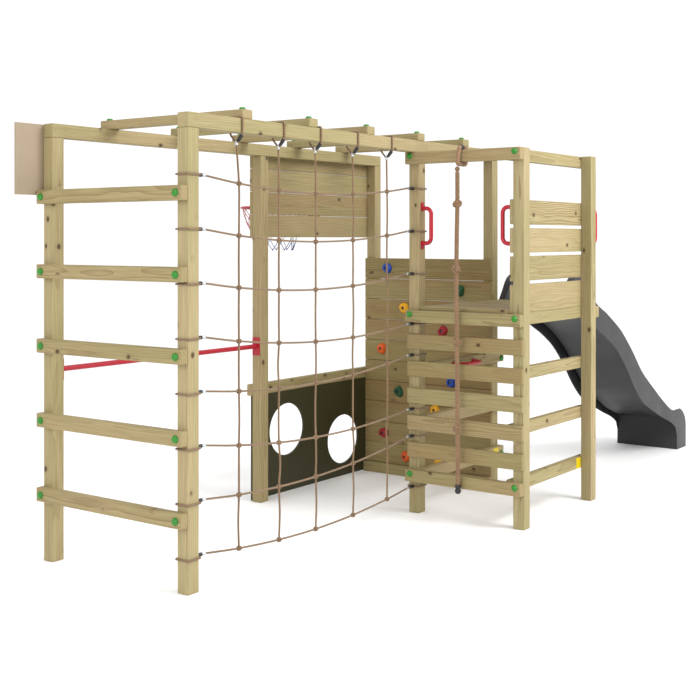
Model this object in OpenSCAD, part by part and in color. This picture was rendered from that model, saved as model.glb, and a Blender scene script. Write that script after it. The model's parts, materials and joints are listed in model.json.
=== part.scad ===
// Timber climbing frame: wall bars, monkey bars, climbing net, goal wall, hoop and turn bar in one bay,
// and a tower with a deck, climbing wall, ladders, knotted rope and slide at its end.
// Origin: centre of the foot of the front wall-bar post. +X along the net to the slide, +Y to the goal
// wall, +Z up.

/* [Timber] */
// Side of the square posts and beams
post = 70; // [60:5:90]
// Thickness of rails and rungs
rail_t = 45; // [38:1:60]
// Height of rails and rungs
rail_h = 70; // [60:5:90]
// Thickness of boards
board_t = 22; // [18:1:28]
// Height of a board
board_h = 140; // [120:5:160]
// Height of a slat in the rope-side wall
slat_h = 88; // [70:2:100]

/* [Layout] */
// Height of the posts, up to the underside of the beams
post_h = 2130; // [1980:10:2400]
// Front wall-bar post to net post, centre to centre
net_span = 1865; // [1550:5:2250]
// Width of the tower along X, centre to centre
tower_w = 855; // [700:5:1050]
// Depth of the tower along Y, centre to centre
tower_d = 705; // [600:5:860]
// Depth of the wall bars and the climbing wall along Y, centre to centre
gym_d = 950; // [790:5:1150]
// Front wall-bar post to goal post along X
goal_x = 1540; // [1280:5:1850]
// Top of the rails that carry the deck
deck_h = 1200; // [1100:10:1300]

/* [Bars] */
// Height of the lowest wall bar's centre
bar_first = 342; // [280:2:400]
// Spacing of the wall bars
bar_pitch = 372; // [300:2:400]
// Spacing of the monkey-bar rungs
rung_pitch = 500; // [420:5:560]
// Underside of the lowest tower ladder rung
ladder_first = 200; // [160:5:260]
// Height of the turn bar's centre
turn_bar_z = 960; // [800:10:1150]
// Diameter of the turn bar
turn_bar_d = 28; // [24:1:34]

/* [Boards] */
// Number of climbing wall boards
wall_boards = 10; // [7:1:11]
// Gap between climbing wall boards
wall_gap = 1.7; // [0.5:0.1:6]
// Gap between the guard boards on the ladder side
guard_gap = 20; // [10:1:30]
// Diameter of the goal holes
goal_hole_d = 330; // [260:5:360]
// Thickness of the goal panel
panel_t = 12; // [8:1:18]

/* [Fixings] */
// Diameter of a coach bolt's shank
bolt_d = 10; // [8:1:12]
// Diameter of a bolt cap
cap_d = 37; // [30:1:44]
// Height of a bolt cap
cap_h = 13; // [11:1:18]

/* [Handles and holds] */
// Diameter of a grab handle's grip
handle_d = 24; // [20:1:28]
// Length of a grab handle between its legs' centres
handle_len = 206; // [170:2:250]
// How far a grab handle stands off its seat, to the grip's outer side
handle_reach = 76; // [66:1:90]
// Radius of a climbing hold
hold_r = 36; // [30:1:42]
// How far a climbing hold stands off the wall
hold_h = 34; // [28:1:42]

/* [Slide] */
// Outer width of the slide
slide_w = 496; // [420:4:508]
// Distance of the slide's middle from the line of the net, towards the ladder
slide_y = 290; // [260:5:350]
// Wall thickness of the slide
slide_t = 8; // [5:1:10]
// Height of the slide's sides where they start at the deck
slide_lip = 22; // [12:2:60]
// Width of the slide's rolled edge
slide_rim = 46; // [36:1:60]

/* [Hoop] */
// Radius of the hoop's centre line
hoop_r = 220; // [180:5:230]
// Diameter of the hoop's rod
hoop_rod = 16; // [12:1:20]
// Height of the hoop
hoop_z = 1830; // [1760:5:1900]

/* [Ropes] */
// Diameter of the net's cord
cord_d = 10; // [8:1:12]
// Diameter of the climbing rope
rope_d = 26; // [22:1:30]
// How far the net's level cords sag at mid span
net_sag = 60; // [0:5:90]

/* [Hidden] */

half = post / 2;
beam_top = post_h + post;
rung_top = beam_top + rail_t;
tower_x = net_span + tower_w;
far_x = tower_x + half;
deck_top = deck_h + board_t;
deck_rail_z = deck_h - rail_h;
rail_face = -half - rail_t;
tower_face = net_span - half;
seat = 0.3;

// Monkey bars: five rungs, evenly spread about the middle of the beams
rung_count = 5;
rung_first = (tower_x - (rung_count - 1) * rung_pitch) / 2;
function rung_x(i) = rung_first + i * rung_pitch;
bar_count = 5;
function bar_z(i) = bar_first + i * bar_pitch;

// Slats: equal gaps between the bottom rail and the deck rail
slat_count = 5;
slat_rail_z = 193;
slat_gap = (deck_rail_z - slat_rail_z - rail_h - slat_count * slat_h) / (slat_count + 1);
function slat_z(i) = slat_rail_z + rail_h + slat_gap + i * (slat_h + slat_gap);
function slat_gap_mid(i) = slat_z(i) - slat_gap / 2;

// Ladders: three rungs on each side, spaced up to the deck rails
ladder_count = 3;
ladder_pitch = (deck_rail_z - ladder_first) / ladder_count;
function ladder_z(i) = ladder_first + i * ladder_pitch;

// Grab handles stand over the deck; their seat pads reach this far from the middle
handle_z = deck_top + 475;
pad_r = 15;
pad_run = 22;
pad_edge = handle_len / 2 + pad_run + pad_r;

deck_count = 6;
guard_count = min(4, floor((post_h - rail_h - deck_top + guard_gap) / (board_h + guard_gap)));
backboard_count = 4;
backboard_gap = 2;
top_clear = 4;

// Inner faces of the tower's two sides that run along X
ladder_in = -tower_d + half;
net_in = -half;
back_face = gym_d + half;
wall_face = tower_x - half - board_t;

// Every coach bolt: where its head sits, which way it runs, and how long it is
// Bolts that meet in a post from two sides pass above and below each other by the stagger
stagger = 12;
bolt_bite = 50;
bolt_len = rail_t + bolt_bite;
mid_h = rail_h / 2;
slide_rail_face = far_x + rail_t;
function x_bolts(x, ys, z, dir) = [for (y = ys) [[x, y, z], [dir, 0, 0], bolt_len]];
function y_bolts(xs, y, z, dir) = [for (x = xs) [[x, y, z], [0, dir, 0], bolt_len]];
tower_ends = [net_span, tower_x];
bar_bolts = [for (i = [0 : bar_count - 1]) for (b = x_bolts(rail_face, [0, gym_d], bar_z(i), 1)) b];
rope_side_bolts = [for (z = [post_h - mid_h, deck_rail_z + mid_h, slat_rail_z + mid_h])
    for (b = x_bolts(tower_face - rail_t, [0, -tower_d], z + stagger, 1)) b];
ladder_heights = [for (i = [0 : ladder_count - 1]) ladder_z(i) + mid_h];
ladder_bolts = [for (z = concat(ladder_heights, [deck_rail_z + mid_h, post_h - mid_h]))
    for (b = y_bolts(tower_ends, ladder_in + rail_t, z - stagger, -1)) b];
net_side_bolts = [for (z = concat(ladder_heights, [deck_rail_z + mid_h]))
    for (b = y_bolts(tower_ends, net_in - rail_t, z - stagger, 1)) b];
slide_side_bolts = x_bolts(slide_rail_face, [0, -tower_d], deck_rail_z + mid_h + stagger, -1);
goal_rail_z = 650;
goal_bolts = y_bolts([goal_x, tower_x], back_face + rail_t, goal_rail_z + mid_h, -1);
rung_bolts = [for (i = [0 : rung_count - 1]) for (y = [0, gym_d])
    [[rung_x(i), y, rung_top], [0, 0, -1], bolt_len]];
frame_bolts = concat(bar_bolts, rope_side_bolts, ladder_bolts, net_side_bolts, slide_side_bolts,
    goal_bolts, rung_bolts);

// Climbing holds: distance from the net line as a share of the wall's depth, and height
wall_top = rail_h + wall_boards * (board_h + wall_gap) - wall_gap;
function on_wall(list) = [for (h = list) if (h[1] + hold_r <= wall_top) [h[0] * gym_d, h[1]]];
blue_holds = on_wall([[0.832, 1418], [0.28, 668]]);
green_holds = on_wall([[0.209, 1275], [0.729, 573]]);
yellow_holds = on_wall([[0.681, 1147], [0.414, 471], [0.38, 112]]);
red_holds = on_wall([[0.351, 1004], [0.863, 279]]);
orange_holds = on_wall([[0.881, 860], [0.667, 133]]);
all_holds = concat(blue_holds, green_holds, yellow_holds, red_holds, orange_holds);
hold_seat = 14;
hold_bolt_len = hold_seat + board_t + 12;
hold_bolts_list = [for (h = all_holds)
    [[wall_face - hold_seat, h[0], h[1]], [1, 0, 0], hold_bolt_len]];
all_bolts = concat(frame_bolts, hold_bolts_list);

bore_clear = 0.4;
bore_extra = 2;
function reach(b, i) = [min(b[0][i], b[0][i] + b[1][i] * b[2]), max(b[0][i], b[0][i] + b[1][i] * b[2])];
function shared(b, lo, hi) = [for (i = [0 : 2]) min(reach(b, i)[1], hi[i]) - max(reach(b, i)[0], lo[i])];
function crosses(b, lo, hi) = min(shared(b, lo, hi)) >= 0 && max(shared(b, lo, hi)) > 0.01;

// Turns +Z to the direction d
module aim(d) {
    rotate([0, acos(d[2] / norm(d)), atan2(d[1], d[0])]) children();
}

// A straight rod from a to b, stopping short of both by inset
module rod(a, b, d, inset = 0) {
    run = norm(b - a);
    translate(a) aim(b - a) translate([0, 0, inset]) cylinder(h = run - 2 * inset, d = d, $fn = 32);
}

// A cord through the points, rounded at its corners
module cord(points, d) {
    corner = 1.02;
    for (i = [1 : len(points) - 1]) rod(points[i - 1], points[i], d);
    for (i = [1 : len(points) - 2]) translate(points[i]) sphere(d = d * corner, $fn = 32);
}

// A closed cord; the points go once round it, in the order that they join
module cord_ring(points, d) {
    count = len(points);
    corner = 1.02;
    for (i = [0 : count - 1]) {
        rod(points[i], points[(i + 1) % count], d);
        translate(points[i]) sphere(d = d * corner, $fn = 32);
    }
}

// A cord laid level round a square post whose middle is at x, with bent corners
module post_ring(x, z) {
    side = half + loop_off;
    bend = cord_d / 2 + 1.2;
    run = side - bend;
    translate([x, 0, z]) for (turn = [0 : 90 : 270]) rotate([0, 0, turn]) {
        translate([run, run, 0]) rotate_extrude(angle = 90, $fn = 64)
            translate([bend, 0]) circle(d = cord_d, $fn = 32);
        translate([side, -run, 0]) rotate([-90, 0, 0]) cylinder(h = 2 * run, d = cord_d, $fn = 32);
    }
}

// A length of timber between two corners, drilled for every bolt that crosses it
module timber(lo, hi) {
    difference() {
        translate(lo) cube(hi - lo);
        for (b = all_bolts) if (crosses(b, lo, hi))
            translate(b[0] - b[1]) aim(b[1])
                cylinder(h = b[2] + 1 + bore_extra, d = bolt_d + bore_clear, $fn = 48);
    }
}

module post_at(x, y) {
    color("#c9bc90") timber([x - half, y - half, 0], [x + half, y + half, post_h]);
}

module beam_at(y) {
    color("#c9bc90") timber([-half, y - half, post_h], [far_x, y + half, beam_top]);
}

module monkey_rungs() {
    color("#c2b27e") for (i = [0 : rung_count - 1])
        timber([rung_x(i) - half, -half, beam_top], [rung_x(i) + half, back_face, rung_top]);
}

module wall_bar(i) {
    color("#b9a876") timber([rail_face, -half, bar_z(i) - mid_h], [-half, back_face, bar_z(i) + mid_h]);
}

// A rail on the rope side of the tower
module rope_side_rail(z) {
    color("#c2b27e")
        timber([tower_face - rail_t, -tower_d - half, z], [tower_face, half, z + rail_h]);
}

// A rail on the inner side of the tower's ladder side
module ladder_side_rail(z) {
    color("#c2b27e") timber([tower_face, ladder_in, z], [far_x, ladder_in + rail_t, z + rail_h]);
}

// A rail on the inner side of the tower's net side
module net_side_rail(z) {
    color("#c2b27e") timber([tower_face, net_in - rail_t, z], [far_x, net_in, z + rail_h]);
}

module deck_rail_slide() {
    color("#c2b27e")
        timber([far_x, -tower_d - half, deck_rail_z], [slide_rail_face, half, deck_h]);
}

module deck_boards() {
    deck_run = far_x - tower_face;
    deck_pitch = (deck_run - board_h) / (deck_count - 1);
    color("#b5a06c") for (i = [0 : deck_count - 1])
        timber([tower_face + i * deck_pitch, ladder_in + board_t, deck_h],
            [tower_face + i * deck_pitch + board_h, net_in, deck_top]);
}

module rope_side_slats() {
    color("#b5a06c") for (i = [0 : slat_count - 1])
        timber([tower_face - board_t, -tower_d - half, slat_z(i)], [tower_face, half, slat_z(i) + slat_h]);
}

module ladder_rungs() {
    for (i = [0 : ladder_count - 1]) ladder_side_rail(ladder_z(i));
}

module net_side_rungs() {
    for (i = [0 : ladder_count - 1]) net_side_rail(ladder_z(i));
}

module guard_boards() {
    color("#c9b98a") for (i = [0 : guard_count - 1]) {
        z = deck_top + i * (board_h + guard_gap);
        timber([tower_face, ladder_in, i == 0 ? deck_h : z], [far_x, ladder_in + board_t, z + board_h]);
    }
}

module climb_wall_boards() {
    color("#a8925c") for (i = [0 : wall_boards - 1]) {
        z = rail_h + i * (board_h + wall_gap);
        timber([wall_face, -half, z], [wall_face + board_t, back_face, z + board_h]);
    }
}

module climb_wall_bottom_rail() {
    color("#b5a06c") timber([tower_x - half - rail_t, -half, 0], [tower_x - half, back_face, rail_h]);
}

// One climbing hold, its back on the plane z = 0: a dome with a seat for its bolt
module hold_body() {
    skirt = 6;
    steps = 8;
    dome = [for (i = [0 : steps]) let (a = 90 * i / steps)
        [hold_r * cos(a), skirt + (hold_h - skirt) * sin(a)]];
    head_d = 20;
    difference() {
        rotate_extrude($fn = 48) polygon(concat([[0, 0], [hold_r, 0]], dome));
        translate([0, 0, -1]) cylinder(h = hold_h + 2, d = bolt_d + bore_clear, $fn = 48);
        translate([0, 0, hold_seat]) cylinder(h = hold_h, d = head_d, $fn = 48);
    }
}

module holds(places, shade) {
    color(shade) for (h = places) translate([wall_face, h[0], h[1]]) aim([-1, 0, 0]) hold_body();
}

module hold_bolts() {
    head_d = 17;
    head_h = 9;
    socket = 8;
    socket_depth = 5;
    color("#b8bcc0") for (b = hold_bolts_list) translate(b[0]) aim(-b[1]) difference() {
        union() {
            translate([0, 0, -b[2]]) cylinder(h = b[2] + 1, d = bolt_d, $fn = 48);
            cylinder(h = head_h, d = head_d, $fn = 48);
        }
        translate([0, 0, head_h - socket_depth]) cylinder(h = head_h, d = socket, $fn = 6);
    }
}

// A grab handle: grip along Y, legs along -Z to two seat pads on the plane z = 0
module grab_handle() {
    bend = 34;
    grip_z = handle_reach - handle_d / 2;
    leg_y = handle_len / 2;
    pad_t = 5;
    translate([0, -leg_y + bend, grip_z]) rotate([-90, 0, 0])
        cylinder(h = handle_len - 2 * bend, d = handle_d, $fn = 48);
    for (side = [-1, 1]) {
        rotate([0, 0, side > 0 ? 0 : 180]) {
            translate([0, leg_y - bend, grip_z - bend]) rotate([0, -90, 0])
                rotate_extrude(angle = 90, $fn = 64) translate([bend, 0]) circle(d = handle_d, $fn = 48);
            translate([0, leg_y, pad_t / 2]) cylinder(h = grip_z - bend - pad_t / 2, d = handle_d, $fn = 48);
            translate([0, leg_y, 0]) linear_extrude(pad_t) {
                circle(r = pad_r, $fn = 48);
                translate([0, pad_run]) circle(r = pad_r, $fn = 48);
                translate([-pad_r, 0]) square([2 * pad_r, pad_run]);
            }
        }
    }
}

module grab_handle_net() {
    color("#b01028") translate([net_span, -half, handle_z]) rotate([90, 0, 0]) grab_handle();
}

module grab_handle_deck() {
    color("#b01028") translate([net_span, ladder_in + board_t, handle_z]) rotate([-90, 0, 0]) grab_handle();
}

module grab_handle_slide() {
    color("#b01028") translate([far_x, -tower_d, handle_z]) rotate([90, 0, 90]) grab_handle();
}

// Handle on the inner side of the top rung towards the net
grip_offset = 32;
module rung_grip() {
    color("#b01028")
        translate([(net_span + tower_x) / 2 - grip_offset, net_in - rail_t, ladder_z(ladder_count - 1) + rail_h / 2])
            rotate([90, 0, 0]) rotate([0, 0, -90]) grab_handle();
}

module goal_rail() {
    color("#c2b27e")
        timber([goal_x - half, back_face, goal_rail_z], [far_x, back_face + rail_t, goal_rail_z + rail_h]);
}

goal_run = tower_x - goal_x;
goal_holes = [[goal_x + 0.246 * goal_run, 403], [goal_x + 0.739 * goal_run, 255]];
module goal_panel() {
    floor_gap = 6;
    color("#3a3820") difference() {
        translate([goal_x - half, back_face, floor_gap])
            cube([far_x - goal_x + half, panel_t, goal_rail_z - floor_gap]);
        for (h = goal_holes) translate([h[0], back_face - 1, h[1]]) rotate([-90, 0, 0])
            cylinder(h = panel_t + 2, d = goal_hole_d, $fn = 96);
    }
}

backboard_pitch = board_h + backboard_gap;
backboard_z = beam_top - top_clear - backboard_count * backboard_pitch + backboard_gap;
module backboard() {
    color("#b8a679") for (i = [0 : backboard_count - 1]) {
        z = backboard_z + i * backboard_pitch;
        timber([goal_x - half, back_face, z], [far_x, back_face + board_t, z + board_h]);
    }
}

hoop_x = (goal_x + tower_x) / 2;
hoop_gap = 128;
hoop_y = back_face + board_t + hoop_gap + hoop_r;
module hoop_ring() {
    plate = [120, 5, 110];
    arm_x = 40;
    arm_run = hoop_gap + hoop_r - sqrt(hoop_r * hoop_r - arm_x * arm_x);
    arm_d = 12;
    color("#c01530") {
        translate([hoop_x, hoop_y, hoop_z]) rotate_extrude($fn = 96)
            translate([hoop_r, 0]) circle(d = hoop_rod, $fn = 32);
        translate([hoop_x - plate[0] / 2, back_face + board_t, hoop_z - plate[2] + 30]) cube(plate);
        for (side = [-1, 1]) translate([hoop_x + side * arm_x, back_face + board_t + 1, hoop_z])
            rotate([-90, 0, 0]) cylinder(h = arm_run, d = arm_d, $fn = 32);
    }
}

// The hoop's net as a plain open cone
net_drop = 280;
module hoop_net() {
    top_r = hoop_r - 6;
    low_r = 125;
    wall = 4;
    color("#d8d4d0") translate([hoop_x, hoop_y, hoop_z - hoop_rod / 2 - net_drop]) rotate_extrude($fn = 64)
        polygon([[low_r, 0], [low_r + wall, 0], [top_r + wall, net_drop], [top_r, net_drop]]);
}

flange_t = 6;
module turn_bar() {
    flange = [56, 110];
    color("#b01028") {
        translate([half + 1, gym_d, turn_bar_z]) rotate([0, 90, 0])
            cylinder(h = goal_x - post - 2, d = turn_bar_d, $fn = 48);
        for (x = [half, goal_x - half - flange_t])
            translate([x, gym_d - flange[0] / 2, turn_bar_z - flange[1] / 2])
                cube([flange_t, flange[0], flange[1]]);
    }
}

// Slide, side view: distance from the tower's outer face along X, and heights of the rim, of the sliding
// surface and of the skirt's lower edge above a deck 1200 high
slide_runs = [[46, 84, 8, -50], [100, 158, 4, -60], [180, 188, -6, -78], [265, 160, -28, -104],
    [350, 72, -62, -138], [432, -6, -104, -174], [509, -46, -142, -208], [588, -80, -178, -244],
    [729, -155, -252, -322], [833, -217, -325, -402], [939, -300, -412, -502], [1047, -394, -522, -620],
    [1150, -495, -620, -712], [1249, -575, -696, -778], [1435, -695, -800, -858],
    [1579, -785, -872, -915], [1740, -872, -930, -972], [1820, -892, -950, -1012]];
slide_steps = 4;
foot_back = 1870;
foot_front = 2055;
slide_last = len(slide_runs) - 1;
// Catmull-Rom value of column c at span i, fraction t
slide_fall = deck_h / 1200;
function knot_at(i, c) = slide_runs[max(0, min(slide_last, i))][c] * (c == 0 ? 1 : slide_fall);
function spline(i, t, c) = let (a = knot_at(i - 1, c), b = knot_at(i, c), d = knot_at(i + 1, c), e = knot_at(i + 2, c))
    0.5 * (2 * b + (d - a) * t + (2 * a - 5 * b + 4 * d - e) * t * t + (3 * b - a - 3 * d + e) * t * t * t);
function slide_line(c, drop = 0) = concat(
    [for (i = [0 : slide_last - 1]) for (k = [0 : slide_steps - 1])
        [far_x + spline(i, k / slide_steps, 0), deck_h + spline(i, k / slide_steps, c) - drop]],
    [[far_x + knot_at(slide_last, 0), deck_h + knot_at(slide_last, c) - drop]]);
function backwards(list) = [for (i = [len(list) - 1 : -1 : 0]) list[i]];
// The rim's front, rounded down to the ground
function nose(x0, z0, drop = 0) = [for (a = [60 : -15 : 0])
    [x0 + drop + (far_x + foot_front - x0 - 2 * drop) * cos(a), z0 * (0.55 + 0.45 * sin(a) / sin(60)) - drop]];

// A flat outline in the XZ plane, given thickness from y0 to y1
module side_plate(points, y0, y1) {
    translate([0, y1, 0]) rotate([90, 0, 0]) linear_extrude(y1 - y0) polygon(points);
}

module slide() {
    lip = seat + 1.7;
    edge_x = far_x + lip;
    rim = slide_line(1);
    bed = slide_line(2);
    skirt = slide_line(3);
    last_x = far_x + knot_at(slide_last, 0);
    front_z = deck_h + knot_at(slide_last, 1);
    bed_z = deck_h + knot_at(slide_last, 2);
    outline = concat([[edge_x, deck_h], [edge_x, deck_h + slide_lip]], rim, nose(last_x, front_z),
        [[far_x + foot_front, 0], [far_x + foot_back, 0], [far_x + foot_back, 110],
        [far_x + foot_back - 25, 170]], backwards(skirt), [[slide_rail_face + 1, deck_h]]);
    bed_top = concat([[edge_x, deck_h + slide_t]], bed);
    bed_low = concat([[edge_x, deck_h]], [for (p = bed) [p[0], p[1] - slide_t]]);
    walls = concat([[edge_x, deck_h + slide_lip]], rim, backwards(bed_low));
    rim_band = concat([[edge_x, deck_h + slide_lip]], rim,
        backwards(slide_line(1, slide_t)), [[edge_x, deck_h + slide_lip - slide_t]]);
    half_w = slide_w / 2;
    inner = half_w - slide_rim;
    color("#3c3c3e") translate([0, -slide_y, 0]) {
        side_plate(concat(bed_top, backwards(bed_low)), -inner - 0.5, inner + 0.5);
        for (side = [0, 1]) mirror([0, side, 0]) {
            side_plate(walls, inner, inner + slide_t);
            side_plate(rim_band, inner, half_w);
            side_plate(outline, half_w - slide_t, half_w);
        }
        // Foot: a hollow box across the whole width, its top running on from the sliding surface
        side_plate(concat([[last_x - 1, bed_z]], nose(last_x, bed_z), [[far_x + foot_front, 0],
            [far_x + foot_front - slide_t, 0]], backwards(nose(last_x, bed_z - slide_t, 0)),
            [[last_x - 1, bed_z - slide_t]]), -half_w + 1, half_w - 1);
        side_plate([[far_x + foot_back, 0], [far_x + foot_back + slide_t, 0],
            [far_x + foot_back + slide_t, bed_z - slide_t + 2], [far_x + foot_back, bed_z - slide_t + 2]],
            -half_w + 1, half_w - 1);
        for (side = [-1, 1]) translate([0, side * (half_w - slide_rim / 2), 0])
            side_plate([[last_x - 1, bed_z - slide_t], [last_x - 1, front_z], [last_x + 90, front_z - 25],
                [last_x + 90, bed_z - 30]], -slide_rim / 2 + 1, slide_rim / 2 - 1);
    }
}

// Blank sign board on the back wall-bar post
module sign_board() {
    sign_out = 200;
    sign_h = 356;
    sign_t = 10;
    color("#b5a58f") translate([-sign_out, back_face, beam_top - top_clear - sign_h])
        cube([sign_out + half, sign_t, sign_h]);
}

// Blank tags on the lowest tower rungs
module tag_plates() {
    tag = [60, 2, 64];
    tag_x = tower_x - half - tag[0] - 4;
    color("#d8c81a") for (y = [ladder_in, net_in - rail_t])
        translate([tag_x, y - tag[1], ladder_first + (rail_h - tag[2]) / 2]) cube(tag);
}

module coach_bolts() {
    head_d = 20;
    head_h = 6;
    color("#b8bcc0") for (b = frame_bolts) translate(b[0]) aim(-b[1]) {
        translate([0, 0, -b[2]]) cylinder(h = b[2] + 1, d = bolt_d, $fn = 48);
        cylinder(h = head_h, d = head_d, $fn = 48);
    }
}

module bolt_caps() {
    cavity_r = 11;
    cavity_h = 7;
    rise = [for (a = [0 : 15 : 90]) [cap_d / 2 * cos(a), cap_h * sin(a)]];
    color("#3fae1c") for (b = frame_bolts) translate(b[0]) aim(-b[1]) rotate_extrude($fn = 48)
        polygon(concat([[cavity_r, 0]], rise, [[0, cavity_h], [cavity_r, cavity_h]]));
}

// Net: uprights along X, level cords at both posts, and the crossings where they are knotted
net_uprights = [for (u = [0.18, 0.336, 0.492, 0.664, 0.835]) u * net_span];
// The loops over the beam keep clear of the monkey-bar rungs
loop_clear = half + cord_d / 2 + 2;
function near_rung(x) = rung_x(max(0, min(rung_count - 1, round((x - rung_first) / rung_pitch))));
function off_rung(x, r) = abs(x - r) < loop_clear ? r + (x < r ? -loop_clear : loop_clear) : x;
beam_loops = [for (u = net_uprights) off_rung(u - 4, near_rung(u - 4))];
net_levels = 8;
net_top = post_h - 213;
net_low = 157;
fitting_run = 75;
loop_off = cord_d / 2 + 0.5;
function left_level(k) = net_top - k * (net_top - net_low) / (net_levels - 1);
// At the tower the cords pass between the rails and slats
right_levels = [max(left_level(0), handle_z + pad_edge + 20), handle_z - 32,
    min(left_level(2), handle_z - pad_edge - 30), deck_rail_z - 12, slat_gap_mid(4), slat_gap_mid(2),
    slat_gap_mid(1), slat_rail_z - 34];
net_a = half + fitting_run - 12;
net_b = net_span - half - fitting_run + 12;
function level_z(k, x) = let (t = (x - net_a) / (net_b - net_a))
    left_level(k) * (1 - t) + right_levels[k] * t - net_sag * 4 * t * (1 - t);
function crossing(i, k) = [net_uprights[i], 0, level_z(k, net_uprights[i])];
function level_points(k) = concat([[net_a, 0, left_level(k)]],
    [for (i = [0 : len(net_uprights) - 1]) crossing(i, k)], [[net_b, 0, right_levels[k]]]);
link_z = post_h - 46;
function upright_points(i) = concat([[beam_loops[i], 0, link_z]],
    [for (k = [0 : net_levels - 1]) crossing(i, k)]);
function beam_ring(x) = let (r = half + loop_off, low = post_h - loop_off)
    [[x, -4, link_z], [x, -r, low], [x, -r, beam_top + loop_off], [x, r, beam_top + loop_off],
    [x, r, low], [x, 4, link_z]];

module net_cords() {
    inset = 8;
    color("#6b5236") {
        for (k = [0 : net_levels - 1]) {
            run = level_points(k);
            for (i = [1 : len(run) - 1]) rod(run[i - 1], run[i], cord_d, inset);
            post_ring(0, left_level(k));
            post_ring(net_span, right_levels[k]);
        }
        for (i = [0 : len(net_uprights) - 1]) {
            drop = upright_points(i);
            for (k = [1 : len(drop) - 1]) rod(drop[k - 1], drop[k], cord_d, inset);
            cord(beam_ring(beam_loops[i]), cord_d);
        }
    }
}

module net_knots() {
    knot_r = 14;
    color("#6b5236") for (i = [0 : len(net_uprights) - 1]) for (k = [0 : net_levels - 1])
        translate(crossing(i, k)) sphere(r = knot_r, $fn = 32);
}

// Black sleeves and metal ferrules where the net's cords are looped round the posts and the beam
module net_fittings() {
    sleeve_d = 19;
    ferrule_d = 14;
    ferrule = 24;
    ring_edge = half + cord_d;
    for (k = [0 : net_levels - 1]) {
        for (end = [[0, 1, left_level(k)], [net_span, -1, right_levels[k]]]) {
            from = [end[0] + end[1] * ring_edge, 0, end[2]];
            to = [end[0] + end[1] * (half + fitting_run - ferrule), 0, end[2]];
            tip = [end[0] + end[1] * (half + fitting_run + 2), 0, end[2]];
            color("#1c1c1c") rod(from, to, sleeve_d);
            color("#b8bcc0") rod(to, tip, ferrule_d);
        }
    }
    for (x = beam_loops) {
        low = [x, -half - loop_off, post_h - loop_off];
        link = [x, -4, link_z];
        color("#1c1c1c") rod(low, link, sleeve_d, 7);
        color("#b8bcc0") translate([x, 0, link_z - 14]) cylinder(h = 24, d = ferrule_d, $fn = 32);
    }
}

// Climbing rope: hitched round the header, hung from a ball, with four knots and an end cap
rope_y = -tower_d / 2;
rope_x = tower_face - rail_t - cap_h - 20;
hitch_low = post_h - rail_h - rope_d / 2 - seat;
ball_r = 16;
pivot_z = hitch_low - rope_d * 1.02 / 2 - 0.4 - ball_r;
rope_start = pivot_z - ball_r - seat;
rope_end = 222;
rope_sway = [[0, 0], [0, 0], [-1, 3], [-2, 5], [-1, 6], [-1, 3], [0, 2], [0, 0], [0, 0], [0, -2], [0, -4]];
rope_route = [for (i = [0 : len(rope_sway) - 1])
    [rope_x + rope_sway[i][0], rope_y + rope_sway[i][1],
    rope_start + (rope_end - rope_start) * i / (len(rope_sway) - 1)]];
knot_heights = [1820, 1446, 1036, 543];
rope_rings = 3;
function rope_at(i, t) = rope_route[i] * (1 - t) + rope_route[i + 1] * t;
rope_centres = concat([for (i = [0 : len(rope_route) - 2]) for (k = [0 : rope_rings - 1])
    rope_at(i, k / rope_rings)], [rope_route[len(rope_route) - 1]]);
rope_sides = 12;
rope_points = [for (c = rope_centres) for (s = [0 : rope_sides - 1])
    c + rope_d / 2 * [cos(360 * s / rope_sides), sin(360 * s / rope_sides), 0]];
rope_last = len(rope_centres) - 1;
rope_faces = concat([[for (s = [0 : rope_sides - 1]) s]],
    [for (r = [0 : rope_last - 1]) for (s = [0 : rope_sides - 1])
        [r * rope_sides + s, (r + 1) * rope_sides + s, (r + 1) * rope_sides + (s + 1) % rope_sides,
        r * rope_sides + (s + 1) % rope_sides]],
    [[for (s = [rope_sides - 1 : -1 : 0]) rope_last * rope_sides + s]]);

module rope_hitch() {
    back_x = tower_face + rope_d / 2 + seat;
    top_z = post_h + rope_d / 2 + seat;
    front_x = tower_face - rail_t - rope_d / 2 - seat;
    color("#6b5236") cord_ring([[rope_x, rope_y, hitch_low], [front_x, rope_y, top_z],
        [back_x, rope_y, top_z], [back_x, rope_y, hitch_low]], rope_d);
}

module rope_swivel() {
    color("#1c1c1c") translate([rope_x, rope_y, pivot_z]) sphere(r = ball_r, $fn = 48);
}

module climbing_rope() {
    color("#6b5236") polyhedron(rope_points, rope_faces, convexity = 4);
}

// Where the rope's middle is at a height
function rope_mid(z) = let (s = (rope_start - z) / (rope_start - rope_end) * (len(rope_route) - 1), i = floor(s))
    rope_at(i, s - i);

module rope_knots() {
    knot_r = 29;
    color("#6b5236") for (z = knot_heights) translate(rope_mid(z)) sphere(r = knot_r, $fn = 48);
}

module rope_end_cap() {
    ball = 18;
    cap_drop = 26;
    end = rope_route[len(rope_route) - 1];
    color("#1c1c1c") for (drop = [8, 8 + cap_drop]) translate([end[0], end[1], end[2] - drop])
        sphere(r = ball, $fn = 48);
}

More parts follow.
